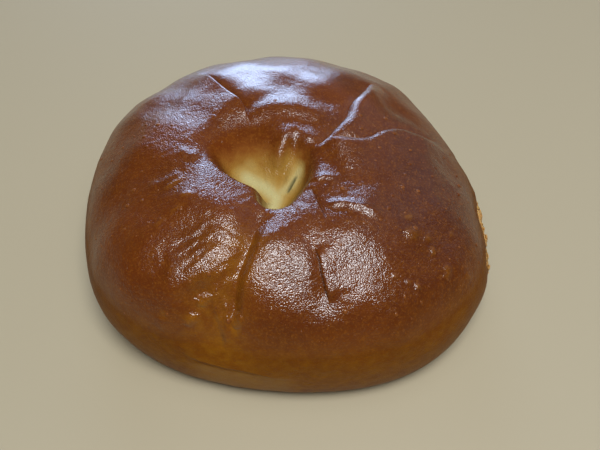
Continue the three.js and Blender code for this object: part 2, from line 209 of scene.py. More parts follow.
# Lobes of dough: centre, half widths, turn in degrees, height
LOBES = [
    ((2, 2), (2, 6), 12, 0.9),
    ((0.6, -26.5), (8.8, 8.8), 0, 1.1),
    ((-15, -16.9), (12, 8), -25, 2.4),
    ((-31.9, -27.9), (13, 10), -20, 2.5),
    ((22, -20.3), (11, 9), 30, 1.5),
    ((-3, 36), (16, 8), 0, 1.2),
]

# Slow unevenness of the whole crust: height, radians per mm to the right and to the back, phase
SWELLS = [
    (0.25, 0.21, 0.13, 1.0),
    (0.22, -0.12, 0.25, 2.3),
    (0.12, 0.41, -0.33, 0.4),
    (0.1, 0.28, 0.52, 3.1),
]

# Down the profile, where the relief of the crown ends, where the marks on the top end, and the
# lengths over which they and the swells fade
CROWN_END = 1.3
CROWN_FADE = 0.35
TOP_END = 1.2
TOP_FADE = 0.3

# The burst seam on the right: azimuths between which it opens and closes, fade of its tear, lower
# and upper edge with their fades, and its waves: height, radians per degree, phase
BURST_START = (-22, -4)
BURST_END = (2, 9)
BURST_FADE = 5
BURST_LOW = 6
BURST_HIGH = 21
BURST_FADES = (4, 2)
BURST_WAVES = [(1.1, 0.4, 0), (0.6, 0.9, 1)]
# How far the torn dough stands out, its layers with radians per mm of height and how they wander.
# Its rim is a gap and then the lifted skin: height, place over the upper edge, width.
BURST_PROUD = 1.0
BURST_LAYERS = 0.35
BURST_LAYER_RATE = 1.5
BURST_WANDER = 2
BURST_WANDER_RATE = 0.3
BURST_RIM = [(-0.7, -0.8, 0.9), (0.4, 1, 1.4)]

# Knuckles on the side: azimuth, half width in degrees, height, how far they stand out. Then their
# half height in mm for each degree of half width.
KNUCKLES = [
    (-24, 6, 15, 0.55),
    (-16, 5, 19, -0.6),
    (-5, 8, 19, -2.0),
    (12, 5, 19, 0.5),
    (21, 2.6, 19, 0.7),
]
KNUCKLE_TALL = 1.3

# Blisters of the skin: place, half length, half width, turn in degrees, height. Each ends a little
# outside that oval, at this squared distance from its middle.
BLISTERS = [
    ((31.5, -21.2), 1.5, 1.3, 0, 0.45),
    ((31, -17.2), 1.1, 0.7, 20, 0.3),
    ((35.7, -21.3), 0.9, 0.7, 0, 0.3),
    ((36.9, -23.5), 0.6, 0.6, 0, 0.3),
    ((36.9, -24.7), 0.6, 0.6, 0, 0.25),
    ((41.9, -18.4), 0.6, 0.5, 0, 0.3),
    ((40.5, -27.5), 0.9, 0.8, 0, 0.35),
    ((40.2, -29.2), 0.8, 0.7, 0, 0.3),
    ((46.2, -27), 0.7, 0.7, 0, 0.3),
    ((26.9, -32.2), 0.7, 0.6, 0, 0.3),
    ((30.3, -32.9), 0.6, 0.6, 0, 0.3),
    ((32.6, -33.3), 0.6, 0.6, 0, 0.3),
    ((-10.6, -42), 1.3, 1.2, 0, 0.6),
    ((-21.3, -40.4), 1.4, 0.8, 10, 0.5),
    ((-28.3, -39.3), 0.9, 0.8, 0, 0.35),
    ((-18.2, -37.5), 1.5, 1.0, 30, 0.6),
    ((-26.8, -8.1), 2.7, 0.7, 32, 0.35),
    ((-29.1, -19.3), 1.5, 0.6, 35, 0.3),
    ((-25.2, -16.8), 1.5, 0.6, 28, 0.3),
    ((-23.1, -12.9), 1.3, 0.7, 10, 0.3),
]
BLISTER_END = 1.4

# Relief too fine for the solid. Puckers round the pinch: height, radians per degree, how they
# wander, their reach, its spread, and the reach up to which they open
PUCKER_HEIGHT = 0.08
PUCKER_RATE = 0.33
PUCKER_WANDER = 1.2
PUCKER_WANDER_RATE = 0.11
PUCKER_REACH = 8.5
PUCKER_SPREAD = 3.5
PUCKER_OPENS = 4
# Stretch marks on the left lobe: height, length, width, direction, middle and spread
STRETCH_HEIGHT = 0.35
STRETCH_LENGTH = 4.5
STRETCH_WIDTH = 1.1
STRETCH_DIRECTION = (0.82, 0.57)
STRETCH_MIDDLE = (-18, -27)
STRETCH_SPREAD = (10, 7)
# Pimples on the rim of the pit, and a low unevenness all over: height and size
PIMPLE_HEIGHT = 0.12
PIMPLE_SIZE = 0.75
UNEVEN_HEIGHT = 0.06
UNEVEN_SIZE = 3.2
# Torn crumb: height, how much flatter than wide, sizes of its fine and coarse lumps, and the
# share of the coarse ones
CRUMB_HEIGHT = 0.55
CRUMB_FLATTER = 1.8
CRUMB_FINE = 1.1
CRUMB_COARSE = 2.4
CRUMB_COARSE_SHARE = 0.6
# Wrinkles pressed in at the tray: height, size, the squeeze on the places they are drawn from,
# which makes them taller than wide, their upper end and its fade
TRAY_HEIGHT = 0.35
TRAY_SIZE = 2.6
TRAY_SQUEEZE = (1, 1, 0.2)
TRAY_TOP = 3
TRAY_FADE = 2

# Valleys in the floor of the pinch where the dough stayed palest, and a streak up the back wall,
# paler dough with a painted highlight on it: path, width, how pale. Then how far beyond its end
# and over what length each fades, and how deep the pinch is where they begin, as a share, with the
# fade of that.
PALE_LINES = [
    ([(-2.7, -10.2), (-1.6, -6), (-4.6, -3), (-8.3, -1.4), (-13.2, 1)], 2.6, 1),
    ([(-2.4, -8), (-1.2, -5), (2.2, -2.9), (5, 1), (6.1, 4.6)], 2.2, 0.8),
    # streak up the back wall of the long hollow, paler dough with a painted highlight
    ([(-6, -2.5), (-8.6, 2.4), (-8.9, 6.5)], 2, 0.45),
]
PALE_BEYOND = 1
PALE_FADE = 6
PALE_SUNK = 0.35
PALE_SUNK_FADE = 0.3

# The egg wash ends where the pinch is this deep, as a share, with its fade, and both are less on
# the wall behind the long hollow, where it dried away between two azimuths with their fades
WASH_END = 0.12
WASH_FADE = 0.28
MATT_WALL = (88, 178, 10, 10)
MATT_WALL_END = 0.1
MATT_WALL_FADE = 0.16
# Where it ran into the pit, as a furrow without depth, and how thickly
GLAZED = (
    [(-1.5, -0.6), (-1.3, 3.4), (0.7, 6.9), (3.5, 8.8), (5.6, 7.5), (6.9, 4.4)],
    0, 2.2, (2, 2),
)
GLAZED_SHARE = 0.9

# The crust is lighter low down, below a height and with its fade, most of all at one azimuth
LOW_TOP = 34
LOW_FADE = 24
LIGHTEST_AZIMUTH = -120
# It is golden along the front furrow, on a tongue at the foot of the front, between heights and
# azimuths with their fades, and on the blisters
GOLDEN_FURROW = ([(-6, -20), (-9, -27), (-14, -36), (-18, -46)], 0, 8, (8, 3))
TONGUE_HEIGHTS = (3, 17.5, 4, 1.5)
TONGUE_AZIMUTHS = (241, 276, 8, 8)
GOLDEN_SHARES = dict(low=0.5, front_left=0.5, furrow=0.4, tongue=0.5, blister=0.3)
# Painted shade darkens the crust on the right, and it is smoothest behind
SHADE_RIGHT_MIDDLE = (36, -8)
SHADE_RIGHT_SPREAD = (18, 24)
SMOOTH_FROM = 14
SMOOTH_FADE = 10
# Flour along the foot, lighter also with painted light bounced up from the table: height,
# how ragged, size of its lumps, fade, and its share on the tongue
FLOUR_AND_GLOW_TOP = 3.6
FLOUR_AND_GLOW_RAGGED = 1.2
FLOUR_AND_GLOW_SIZE = 3.0
FLOUR_AND_GLOW_FADE = 0.8
FLOUR_AND_GLOW_ON_TONGUE = 0.6
# The torn crumb shows in a ragged oval: half width in degrees, height of its middle, half height,
# how full it is, how torn the seam is where the oval begins, the fade of that, and how ragged:
# height, size and seed
OVAL_WIDE = 17
OVAL_MIDDLE = 13.5
OVAL_TALL = 8.5
OVAL_FULL = 1.3
OVAL_START = 0.45
OVAL_FADE = 0.35
OVAL_RAGGED = [(0.5, 4.5, 51.0), (0.25, 1.6, 61.0)]
# Small blisters are strewn outside this reach, above this height, and in front of this distance to
# the back, each with its fade, and where the pinch is no deeper than this share
STREWN_REACH = (12, 8)
STREWN_HEIGHT = (24, 8)
STREWN_BACK = (22, 10)
STREWN_SUNK = 0.2

# How finely the crust is divided. A share of the columns is dealt out evenly between the creases,
# the rest by the angles between them at one reach, in multiples of a number that can be thinned.
# They crowd towards the creases, which stay at least an angle in radians apart.
COLUMNS = 432
CROWN_RINGS = 168
SIDE_RINGS = 42
EVEN_SHARE = 0.35
COLUMN_REACH = 30.0
COLUMN_STEP = 8
CROWDING = 0.8
LEAST_GAP = 0.02
# How far down the profile the point in the middle of the rings lies, up to where only one column
# in so many is kept, and the reach of the widest ring
MIDDLE_POINT = 0.002
THINNING = [(0.02, 8), (0.045, 4), (0.09, 2)]
WIDEST_REACH = 54

# Camera fitted to the outline of the bun in the photograph: degrees above the floor, distance in
# metres, horizontal field in degrees, and the point it looks at in mm
CAMERA_ELEVATION = 56.0
CAMERA_DISTANCE = 0.2455
CAMERA_FIELD = 36.8
CAMERA_AIM = (4.5, -4.1, 17.6)
SENSOR = 36.0

# Lights: name, place and aim in metres, size, watts, colour. A cool window low behind the bun, a
# ceiling light over it with a weaker glow round it, and the dim room on the right.
LIGHTS = [
    ("window", (-0.22, 1.7, 0.34), (0, 0, 0.05), (1.04, 0.52), 20, (0.5, 0.67, 1.0)),
    ("room on the right", (1.1, 0.9, 0.85), (0, 0, 0.03), (1.4, 1.2), 2.4, (0.75, 0.8, 1.0)),
    ("ceiling", (0.06, -0.25, 0.83), (0, 0, 0), (0.40, 0.36), 8.3, (0.94, 0.97, 1.0)),
    ("ceiling glow", (0.03, -0.18, 0.85), (0, 0, 0), (0.8, 0.7), 2.2, (0.94, 0.97, 1.0)),
]
ROOM_COLOUR = (0.62, 0.64, 0.70, 1)
ROOM_STRENGTH = 0.05
FLOOR_HALF = 1.5


def ease(x):
    """0 below 0, 1 above 1, and a smooth rise between"""
    u = np.clip(x, 0, 1)
    return u * u * (3 - 2 * u)


def within(value, start, end, opens, closes):
    """1 between start and end, easing to 0 at them over the two given lengths"""
    return ease((value - start) / opens) * ease((end - value) / closes)


def half_turns(degrees):
    """the same angle between -180 and 180"""
    return (degrees + 180) % 360 - 180


def soft_patch(x, y, middle, spread):
    """1 at the middle of a patch seen from above, 0 far from it"""
    return np.exp(-((x - middle[0]) / spread[0]) ** 2 - ((y - middle[1]) / spread[1]) ** 2)


def turned_oval(x, y, centre, halves, turn):
    """0 at the centre of a turned oval seen from above, 1 on its edge, as a squared distance"""
    c, s = math.cos(math.radians(turn)), math.sin(math.radians(turn))
    u = (c * (x - centre[0]) + s * (y - centre[1])) / halves[0]
    v = (-s * (x - centre[0]) + c * (y - centre[1])) / halves[1]
    return u * u + v * v


def round_table(rows, column, azimuth):
    """value in one column of a closed table whose rows start with an azimuth, as a smooth curve"""
    before, after = rows[-1:], rows[:2]
    places = [row[0] - 360 for row in before] + [row[0] for row in rows]
    places = np.array(places + [row[0] + 360 for row in after], float)
    values = np.array([row[column] for row in before + rows + after], float)
    slopes = (values[2:] - values[:-2]) / (places[2:] - places[:-2])
    a = (azimuth - places[1]) % 360 + places[1]
    i = np.clip(np.searchsorted(places, a, side="right") - 1, 1, len(rows))
    run = places[i + 1] - places[i]
    u = (a - places[i]) / run
    curve = values[i] * (1 + 2 * u) * (1 - u) ** 2 + values[i + 1] * (3 - 2 * u) * u * u
    return curve + run * u * (1 - u) * (slopes[i - 1] * (1 - u) - slopes[i] * u)


def outline(phi):
    """point of the outline, seen from above"""
    swell = 1 + sum(
        share * np.cos(waves * (phi - math.radians(crest)))
        for waves, share, crest in OUTLINE_WAVES
    )
    return WIDTH / 2 * swell * np.cos(phi), DEPTH / 2 * swell * np.sin(phi)


def profile(t):
    """share of the outline and height: t is 0 at the crown, 1 at the widest ring, 2 at the foot"""
    a = np.clip(t, 0, 1) * math.pi / 2
    b = np.clip(t - 1, 0, 1) * math.pi / 2
    crown = np.sin(a) ** (2 / CROWN_POWER)
    crown_z = WIDEST_HEIGHT + (DOME - WIDEST_HEIGHT) * np.abs(np.cos(a)) ** (2 / CROWN_POWER)
    under = FOOT_SHARE + (1 - FOOT_SHARE) * np.abs(np.cos(b)) ** (2 / UNDER_POWER)
    under_z = WIDEST_HEIGHT * (1 - np.sin(b) ** (2 / UNDER_POWER))
    return np.where(t <= 1, crown, under), np.where(t <= 1, crown_z, under_z)


def plain_dough(phi, t):
    """points of the dough before it is pinched, whose crown lies over the pinch"""
    share, z = profile(t)
    x, y = outline(phi)
    lean = np.where(t < 1, 1 - share * share, 0)
    return np.stack([x * share + PINCH[0] * lean, y * share + PINCH[1] * lean, z + 0 * phi], -1)


def reach_of(phi, t):
    """distance from the pinch on the plain dough, seen from above"""
    return profile(t)[0] * np.hypot(*outline(phi))


def ray_to(x, y):
    """reach from the pinch in mm and azimuth in degrees of a point seen from above, found by
    guessing its share of the outline more and more closely"""
    first_guess, guesses = 0.3, 60
    share = first_guess
    for _ in range(guesses):
        px = x - PINCH[0] * (1 - share * share)
        py = y - PINCH[1] * (1 - share * share)
        phi = math.atan2(py / DEPTH, px / WIDTH)
        edge = math.hypot(*outline(phi))
        share = 0.5 * share + 0.5 * min(1, math.hypot(px, py) / edge)
    return share * edge, math.degrees(phi)


for crease in CREASES:
    crease["rays"] = np.array([ray_to(x, y) for x, y in crease["path"]])
    crease["start"], crease["end"] = crease["rays"][0, 0], crease["rays"][-1, 0]


def crease_azimuth(crease, reach):
    """azimuth of the crease at each reach, rounding off the corners of its path"""
    steps = (-CREASE_ROUNDING, 0, CREASE_ROUNDING)
    near, middle, far = (np.interp(reach + step, *crease["rays"].T) for step in steps)
    return (near + 2 * middle + far) / 4


def crease_relief(crease, phi, reach):
    """height of the crease, and its slide round the ring where its lip hangs over"""
    azimuth = crease_azimuth(crease, reach)
    turn_per_mm = crease_azimuth(crease, reach + 0.5) - crease_azimuth(crease, reach - 0.5)
    across = half_turns(np.degrees(phi) - azimuth)
    slant = np.hypot(1, np.radians(turn_per_mm) * reach)
    distance = np.radians(across) * reach * crease["side"] / slant
    strength = within(reach, crease["start"], crease["end"], *crease["fades"])
    strength = strength * ease((CREASE_ACROSS - np.abs(distance)) / CREASE_FADE)
    past = np.maximum(distance - crease["edge"], 0)
    u = np.clip(distance / crease["edge"], 0, 1)
    step = crease["crisp"] * np.sqrt(1 - (1 - u) ** 2) + (1 - crease["crisp"]) * ease(u)
    raised = np.where(
        past > 0,
        crease["lip"] * np.exp(-past / crease["reach"]),
        -crease["groove"] + (crease["groove"] + crease["lip"]) * step,
    )
    low = -crease["groove"] * np.exp(-np.abs(distance) / crease["hollow"])
    slide = -crease["side"] * crease["lean"] * step * np.exp(-past / LEAN_REACH)
    return strength * np.where(distance > 0, raised, low), strength * slide


def along_path(path, x, y):
    """distance from a path seen from above, on which side, how far along it, and its length"""
    nearest = np.full(np.shape(x), np.inf)
    along = np.zeros(np.shape(x))
    left = np.zeros(np.shape(x))
    length = 0
    for (ax, ay), (bx, by) in zip(path, path[1:]):
        run = math.hypot(bx - ax, by - ay)
        u = np.clip(((x - ax) * (bx - ax) + (y - ay) * (by - ay)) / run ** 2, 0, 1)
        gap = np.hypot(x - ax - u * (bx - ax), y - ay - u * (by - ay))
        side = np.sign((bx - ax) * (y - ay) - (by - ay) * (x - ax))
        along = np.where(gap < nearest, length + u * run, along)
        left = np.where(gap < nearest, side, left)
        nearest = np.minimum(gap, nearest)
        length += run
    return nearest, left, along, length


def furrow_strength(furrow, x, y):
    """1 on the middle of a furrow, 0 away from it and at its ends"""
    path, _, width, fades = furrow
    gap, _, along, length = along_path(path, x, y)
    return within(along, 0, length, *fades) * np.exp(-(gap / width) ** 2)


def ledge_relief(ledge, x, y):
    path, height, edge, reach, fades = ledge
    gap, left, along, length = along_path(path, x, y)
    strength = within(along, 0, length, *fades)
    past = np.maximum(gap * left - edge / 2, 0)
    return height * strength * ease(gap * left / edge + 0.5) * np.exp(-(past / reach) ** 2)


def skirt_relief(phi, z):
    start, end, opens, closes = SKIRT
    a = half_turns(np.degrees(phi))
    wave = SKIRT_WAVE * np.sin(a * SKIRT_WAVE_RATE)
    edge = SKIRT_HEIGHT - SKIRT_FALL * (a - start) + wave
    strength = within(a, start, end, opens, closes)
    skin = ease((z - edge) / SKIRT_EDGE) * np.exp(-np.maximum(z - edge, 0) / SKIRT_REACH)
    hollow = SKIRT_HOLLOW * ease((edge - z) / SKIRT_HOLLOW_REACH)
    return SKIRT_PROUD * strength * (skin - hollow)


def burst_shares(phi, z):
    """how proud the burst seam is, how torn along and up it, and its ragged height"""
    a = np.degrees(phi)
    start = ease((a - BURST_START[0]) / (BURST_START[1] - BURST_START[0]))
    torn = within(a, BURST_START[0], BURST_END[1], BURST_FADE, BURST_FADE)
    proud = start * ease((BURST_END[1] - a) / (BURST_END[1] - BURST_END[0]))
    h = z
    for height, rate, phase in BURST_WAVES:
        h = h + height * np.sin(a * rate + phase)
    return proud, torn, within(h, BURST_LOW, BURST_HIGH, *BURST_FADES), h


def burst_relief(phi, z):
    proud, torn, band, h = burst_shares(phi, z)
    wander = BURST_WANDER * np.sin(np.degrees(phi) * BURST_WANDER_RATE)
    layers = BURST_LAYERS * np.sin(h * BURST_LAYER_RATE + wander)
    rim = sum(
        height * np.exp(-((h - BURST_HIGH - over) / width) ** 2)
        for height, over, width in BURST_RIM
    )
    return band * (BURST_PROUD * proud + layers * torn) + rim * torn


def knuckle_relief(knuckle, phi, z):
    azimuth, width, height, proud = knuckle
    around = half_turns(np.degrees(phi) - azimuth)
    tall = KNUCKLE_TALL * width
    return proud * np.exp(-(around / width) ** 2 - ((z - height) / tall) ** 2)


def sunk_share(phi, reach):
    """1 at the floor of the pinch, 0 far outside it"""
    half = round_table(PINCH_WALL, 1, np.degrees(phi))
    slope = round_table(PINCH_WALL, 2, np.degrees(phi))
    share = (1 - np.tanh((reach - half) / slope)) / (1 + np.tanh(half / slope))
    return share * (1 - PINCH_RISE * ease(reach / PINCH_END))


def dish_relief(phi, reach):
    half = DISH_REACH * (1 + DISH_BACK * ease(np.sin(phi)))
    fade = ease((DISH_FADES[1] - reach) / (DISH_FADES[1] - DISH_FADES[0]))
    return -DISH_DEPTH / (1 + (reach / half) ** DISH_POWER) * fade


def relief(phi, t, at):
    """height of the baked surface over the plain dough, and its slide round the ring"""
    reach = reach_of(phi, t)
    height = dish_relief(phi, reach) - PINCH_DEPTH * sunk_share(phi, reach)
    slide = 0
    for crease in CREASES:
        up, around = crease_relief(crease, phi, reach)
        height = height + up
        slide = slide + around
    x, y, z = at[..., 0], at[..., 1], at[..., 2]
    for furrow in FURROWS:
        height = height - furrow[1] * furrow_strength(furrow, x, y)
    for ledge in LEDGES:
        height = height + ledge_relief(ledge, x, y)
    for centre, halves, turn, lobe in LOBES:
        height = height + lobe * np.exp(-turned_oval(x, y, centre, halves, turn))
    for swell, across, back, phase in SWELLS:
        wave = np.sin(across * x + back * y + phase)
        height = height + swell * wave * ease((1 - t) / TOP_FADE)
    crown = ease((CROWN_END - t) / CROWN_FADE)
    low_down = burst_relief(phi, z) + skirt_relief(phi, z)
    low_down = low_down + sum(knuckle_relief(knuckle, phi, z) for knuckle in KNUCKLES)
    return height * crown + low_down, slide * crown


def baked_points(phi, t):
    """points of the baked surface, moved out from the plain dough and round its rings"""
    at = plain_dough(phi, t)
    small = 1e-4
    around = plain_dough(phi + small, t) - plain_dough(phi - small, t)
    around = around / np.linalg.norm(around, axis=-1, keepdims=True)
    down = plain_dough(phi, np.minimum(2, t + small)) - plain_dough(phi, t - small)
    out = np.cross(down, around)
    out = out / np.linalg.norm(out, axis=-1, keepdims=True)
    height, slide = relief(phi, t, at)
    height = height + fine_relief(phi, t, at)
    return at + out * height[..., None] + around * slide[..., None]


def grain(points, size, seed):
    """smooth noise between -1 and 1, one value for each point, with lumps of the given size"""
    flat = np.asarray(points, float).reshape(-1, 3) / size + seed
    return np.array([noise.noise(Vector(p)) for p in flat]).reshape(np.shape(points)[:-1])


def fine_relief(phi, t, at):
    """relief too fine for the solid: puckers, stretch marks, pimples on the rim of the pit, the
    placed blisters, a low unevenness, torn crumb and the wrinkles at the tray"""
    reach = reach_of(phi, t)
    x, y, z = at[..., 0], at[..., 1], at[..., 2]
    degrees = np.degrees(phi)
    pucker = np.sin(degrees * PUCKER_RATE + PUCKER_WANDER * np.sin(degrees * PUCKER_WANDER_RATE))
    pucker = pucker * np.exp(-((reach - PUCKER_REACH) / PUCKER_SPREAD) ** 2)
    height = PUCKER_HEIGHT * pucker * ease(reach / PUCKER_OPENS)

    c, s = STRETCH_DIRECTION
    along, across = (x * c + y * s) / STRETCH_LENGTH, (-x * s + y * c) / STRETCH_WIDTH
    marks = grain(np.stack([along, across, z * 0], -1), 1, seed=3.0)
    left = soft_patch(x, y, STRETCH_MIDDLE, STRETCH_SPREAD)
    height = height + STRETCH_HEIGHT * left * marks * ease((TOP_END - t) / TOP_FADE)

    pimples = grain(at, PIMPLE_SIZE, seed=41.0)
    height = height + PIMPLE_HEIGHT * furrow_strength(PIT_RIM, x, y) * pimples
    for blister in BLISTERS:
        height = height + blister[4] * blister_share(blister, x, y, t)
    height = height + UNEVEN_HEIGHT * grain(at, UNEVEN_SIZE, seed=11.0)

    _, torn, band, _ = burst_shares(phi, z)
    crumb = np.stack([x, y, z * CRUMB_FLATTER], -1)
    lumps = grain(crumb, CRUMB_FINE, seed=5.0)
    lumps = lumps + CRUMB_COARSE_SHARE * grain(crumb, CRUMB_COARSE, seed=8.0)
    height = height + CRUMB_HEIGHT * torn * band * lumps
    tray = ease((TRAY_TOP - z) / TRAY_FADE) * (t > 1)
    return height + TRAY_HEIGHT * tray * grain(at * TRAY_SQUEEZE, TRAY_SIZE, seed=21.0)


def blister_share(blister, x, y, t):
    """1 in the middle of a blister, 0 outside it"""
    centre, half_length, half_width, turn, _ = blister
    oval = turned_oval(x, y, centre, (half_length, half_width), turn)
    return np.sqrt(np.clip(1 - oval / BLISTER_END, 0, 1)) * (t < TOP_END)


def crease_lines(reach):
    """azimuths of the creases at one reach, in radians"""
    return [math.radians(float(crease_azimuth(crease, reach))) for crease in CREASES]


def column_shares():
    """how many columns lie between each crease and the next"""
    lines = crease_lines(COLUMN_REACH)
    shares = []
    for line, following in zip(lines, lines[1:] + lines[:1]):
        turn_share = (following - line) % (2 * math.pi) / (2 * math.pi)
        share = EVEN_SHARE / len(lines) + (1 - EVEN_SHARE) * turn_share
        shares.append(COLUMN_STEP * max(1, round(COLUMNS * share / COLUMN_STEP)))
    return shares


def ring_azimuths(t, shares):
    """azimuths of one ring: a column runs along every crease, and the columns crowd towards it"""
    lines = crease_lines(WIDEST_REACH * float(profile(np.array(min(t, 1.0)))[0]))
    lines.append(lines[0] + 2 * math.pi)
    azimuths = []
    for i, count in enumerate(shares):
        even = np.arange(count) / count
        crowded = even - CROWDING * np.sin(2 * math.pi * even) / (2 * math.pi)
        azimuths.append(lines[i] + max(LEAST_GAP, lines[i + 1] - lines[i]) * crowded)
    return np.concatenate(azimuths)


def stride_at(t):
    """one column in how many is kept, since they would crowd at the middle of the pinch"""
    return next((stride for end, stride in THINNING if t < end), 1)


def band_faces(inner, outer):
    """faces between a ring and the next one out, which has as many points or twice as many"""
    step = len(outer) // len(inner)
    faces = []
    for i, a in enumerate(inner):
        b = inner[(i + 1) % len(inner)]
        ring = [outer[(i * step + k) % len(outer)] for k in range(step + 1)]
        if step == 2:
            faces += [(a, ring[0], ring[1]), (a, ring[1], b), (b, ring[1], ring[2])]
        else:
            faces.append((a, ring[0], ring[1], b))
    return faces


def set_shares(mesh, shares):
    """stores one number for each vertex under each name"""
    for name, values in shares.items():
        layer = mesh.attributes.new(name, "FLOAT", "POINT")
        layer.data.foreach_set("value", np.asarray(values, np.float32))


def pale_share(x, y, sunk):
    """1 on the palest dough, 0 away from it"""
    pale = 0
    for path, width, share in PALE_LINES:
        gap, _, along, length = along_path(path, x, y)
        fade = ease((length - along + PALE_BEYOND) / PALE_FADE)
        pale = np.maximum(pale, share * np.exp(-(gap / width) ** 2) * fade)
    return pale * ease((sunk - PALE_SUNK) / PALE_SUNK_FADE)


def crumb_share(phi, at):
    """1 on the torn crumb, 0 on the crust round it"""
    _, torn, band, h = burst_shares(phi, at[..., 2])
    middle = (BURST_START[0] + BURST_END[1]) / 2
    beside = half_turns(np.degrees(phi) % 360 - middle)
    oval = OVAL_FULL - (beside / OVAL_WIDE) ** 4 - ((h - OVAL_MIDDLE) / OVAL_TALL) ** 4
    ragged = sum(share * grain(at, size, seed) for share, size, seed in OVAL_RAGGED)
    return ease((np.minimum(torn * band, oval) - OVAL_START + ragged) / OVAL_FADE)


def golden_share(phi, t, at, low, tongue):
    """1 on golden crust, 0 where it is brown"""
    x, y = at[..., 0], at[..., 1]
    front_left = 0.5 + 0.5 * np.cos(phi - math.radians(LIGHTEST_AZIMUTH))
    furrow = furrow_strength(GOLDEN_FURROW, x, y) * ease((TOP_END - t) / TOP_FADE)
    golden = low * (GOLDEN_SHARES["low"] + GOLDEN_SHARES["front_left"] * front_left)
    golden = golden + GOLDEN_SHARES["furrow"] * furrow + GOLDEN_SHARES["tongue"] * tongue
    for blister in BLISTERS:
        golden = golden + GOLDEN_SHARES["blister"] * blister_share(blister, x, y, t)
    return np.clip(golden, 0, 1)


def browning(phi, t, at):
    """how each point baked, and where light and shade are painted: sunk in the pinch, pale with a
    painted highlight streak on the back wall, in the slit with its painted shade, golden, low,
    floury and lit by painted light from the table, torn, free of egg wash, in the painted shade on
    the right, smooth, and how thickly small blisters lie on it"""
    reach = reach_of(phi, t)
    x, y, z = at[..., 0], at[..., 1], at[..., 2]
    degrees = np.degrees(phi) % 360
    sunk = sunk_share(phi, reach)
    torn = crumb_share(phi, at)
    low = ease((LOW_TOP - z) / LOW_FADE)
    tongue = within(z, *TONGUE_HEIGHTS) * within(degrees, *TONGUE_AZIMUTHS)
    behind = within(degrees, *MATT_WALL)
    fade = WASH_FADE - MATT_WALL_FADE * behind
    dried = ease((sunk - WASH_END + MATT_WALL_END * behind) / fade)
    dried = dried * (1 - GLAZED_SHARE * furrow_strength(GLAZED, x, y))
    flour_and_glow_top = FLOUR_AND_GLOW_TOP + FLOUR_AND_GLOW_RAGGED * grain(at * (1, 1, 0), FLOUR_AND_GLOW_SIZE, seed=31.0)
    flour_and_glow = (t > 1) * ease((flour_and_glow_top - z) / FLOUR_AND_GLOW_FADE)
    strewn = ease((reach - STREWN_REACH[0]) / STREWN_REACH[1]) * (1 - torn)
    strewn = strewn * ease((z - STREWN_HEIGHT[0]) / STREWN_HEIGHT[1])
    strewn = strewn * ease((STREWN_BACK[0] - y) / STREWN_BACK[1]) * (sunk < STREWN_SUNK)
    return {
        "sunk": sunk,
        "pale": pale_share(x, y, sunk),
        "slit_shade": furrow_strength(SLIT, x, y),
        "golden": golden_share(phi, t, at, low, tongue),
        "low": low,
        "floury_and_glow": np.maximum(flour_and_glow, FLOUR_AND_GLOW_ON_TONGUE * tongue),
        "torn": torn,
        "bare": np.maximum(dried, torn),
        "shaded_right": soft_patch(x, y, SHADE_RIGHT_MIDDLE, SHADE_RIGHT_SPREAD),
        "smooth": ease((y - SMOOTH_FROM) / SMOOTH_FADE),
        "blistered": strewn,
    }


def in_bounds(points, low, high):
    """moves points so that their box is exactly the given one"""
    own_low, own_high = points.min(0), points.max(0)
    return low + (points - own_low) * (high - low) / (own_high - own_low)


def ring_fan(middle, ring):
    """triangles from one point to every side of a ring"""
    return [(middle, a, b) for a, b in zip(ring, ring[1:] + ring[:1])]


def make_bun():
    """the crust as one closed mesh, and the shift from the dough's own places to the frame's"""
    shares = column_shares()
    places = [i / CROWN_RINGS for i in range(1, CROWN_RINGS + 1)]
    places += [1 + i / SIDE_RINGS for i in range(1, SIDE_RINGS + 1)]
    sizes = [sum(shares) // stride_at(t) for t in places]
    phi = np.concatenate([[0.0]] + [ring_azimuths(t, shares)[::stride_at(t)] for t in places])
    t = np.concatenate([[MIDDLE_POINT]] + [np.full(size, t) for size, t in zip(sizes, places)])
    at = baked_points(phi, t)
    starts = np.concatenate([[1], 1 + np.cumsum(sizes)])
    rings = [list(range(start, start + size)) for start, size in zip(starts, sizes)]
    faces = ring_fan(0, rings[0])
    for inner, outer in zip(rings, rings[1:]):
        faces += band_faces(inner, outer)
    crust_faces = len(faces)
    foot = len(at)
    faces += [(middle, b, a) for middle, a, b in ring_fan(foot, rings[-1])]
    points = np.concatenate([at, [[0, 0, 0]]])
    low, high = (np.array(corner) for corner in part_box("bun"))
    placed = in_bounds(points * MM, low, high)
    shift = placed[foot] - points[foot] * MM

    mesh = bpy.data.meshes.new("bun_crust")
    mesh.from_pydata(placed.tolist(), [], faces)
    mesh.polygons.foreach_set("use_smooth", np.ones(len(faces), bool))
    slots = (np.arange(len(faces)) >= crust_faces).astype(np.int32)
    mesh.polygons.foreach_set("material_index", slots)
    baked = browning(phi, t, at)
    set_shares(mesh, {name: np.append(values, 0) for name, values in baked.items()})
    mesh.update()
    return add_object("bun_crust", mesh), shift


def add_object(name, data):
    made = bpy.data.objects.new(name, data)
    bpy.context.scene.collection.objects.link(made)
    return made


